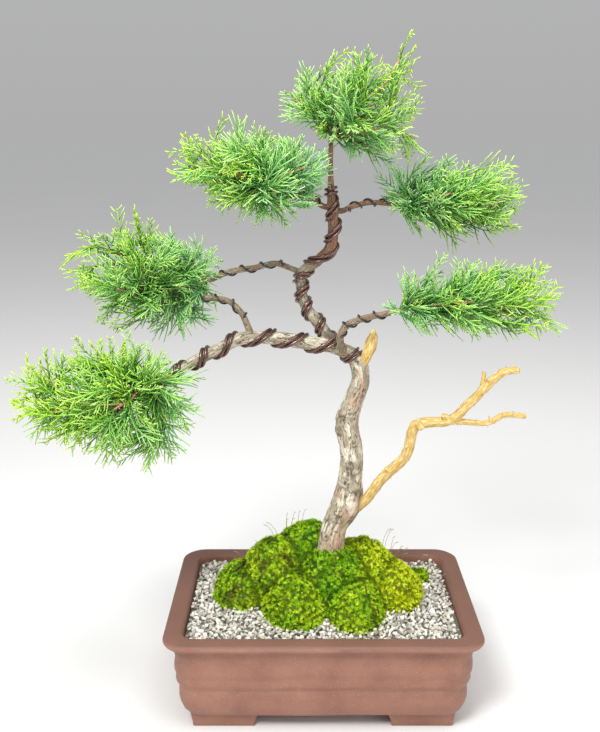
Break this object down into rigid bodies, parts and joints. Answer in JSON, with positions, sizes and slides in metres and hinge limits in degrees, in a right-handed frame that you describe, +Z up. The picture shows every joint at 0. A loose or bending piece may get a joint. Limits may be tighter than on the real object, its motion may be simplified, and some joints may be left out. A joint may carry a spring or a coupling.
{
  "type": "old gold juniper bonsai",
  "caption": "Old gold juniper bonsai: pads of thread-like foliage on wired branches, a long bare branch, and a mossy mound ringed with gravel in a rectangular clay pot on low feet.",
  "frame": {"origin": "on the ground, under the middle of the whole plant's box; the pot's middle is 34 mm along +X from it", "axes": "+Z up, +Y from the front of the pot to its back, +X to the right as seen from the front"},
  "size_m": [0.518, 0.215, 0.65],
  "materials": {
    "clay": "matte",
    "screen": "matte",
    "soil": "matte",
    "moss": "matte",
    "gravel": "matte",
    "bark": "matte",
    "bare_wood": "satin",
    "copper_wire": "satin",
    "black_wire": "satin",
    "foliage": "satin"
  },
  "bodies": {
    "root": {"pot": "clay", "drain_screen_left": "screen", "drain_screen_right": "screen", "tree_wood": "bark", "soil": "soil", "moss_crown": "moss", "moss_trunk_foot": "moss", "moss_shoulder_left": "moss", "moss_shoulder_right": "moss", "moss_front_left": "moss", "moss_front_right": "moss", "moss_left": "moss", "moss_right": "moss", "moss_back_left": "moss", "moss_back_right": "moss", "moss_tuft_right": "moss", "gravel": "gravel", "bare_branch": "bare_wood", "bare_stub": "bare_wood", "wire_long_a": "copper_wire", "wire_long_b": "copper_wire", "wire_anchor_a": "copper_wire", "wire_anchor_b": "copper_wire", "wire_thin_upper_left": "black_wire", "wire_thin_upper_right": "black_wire", "wire_thin_middle_high": "black_wire", "wire_thin_middle_low": "black_wire", "wire_thin_right": "black_wire", "foliage_apex": "foliage", "foliage_upper_left": "foliage", "foliage_upper_right": "foliage", "foliage_middle_left": "foliage", "foliage_lower_left": "foliage", "foliage_right": "foliage"}
  },
  "joints": []
}
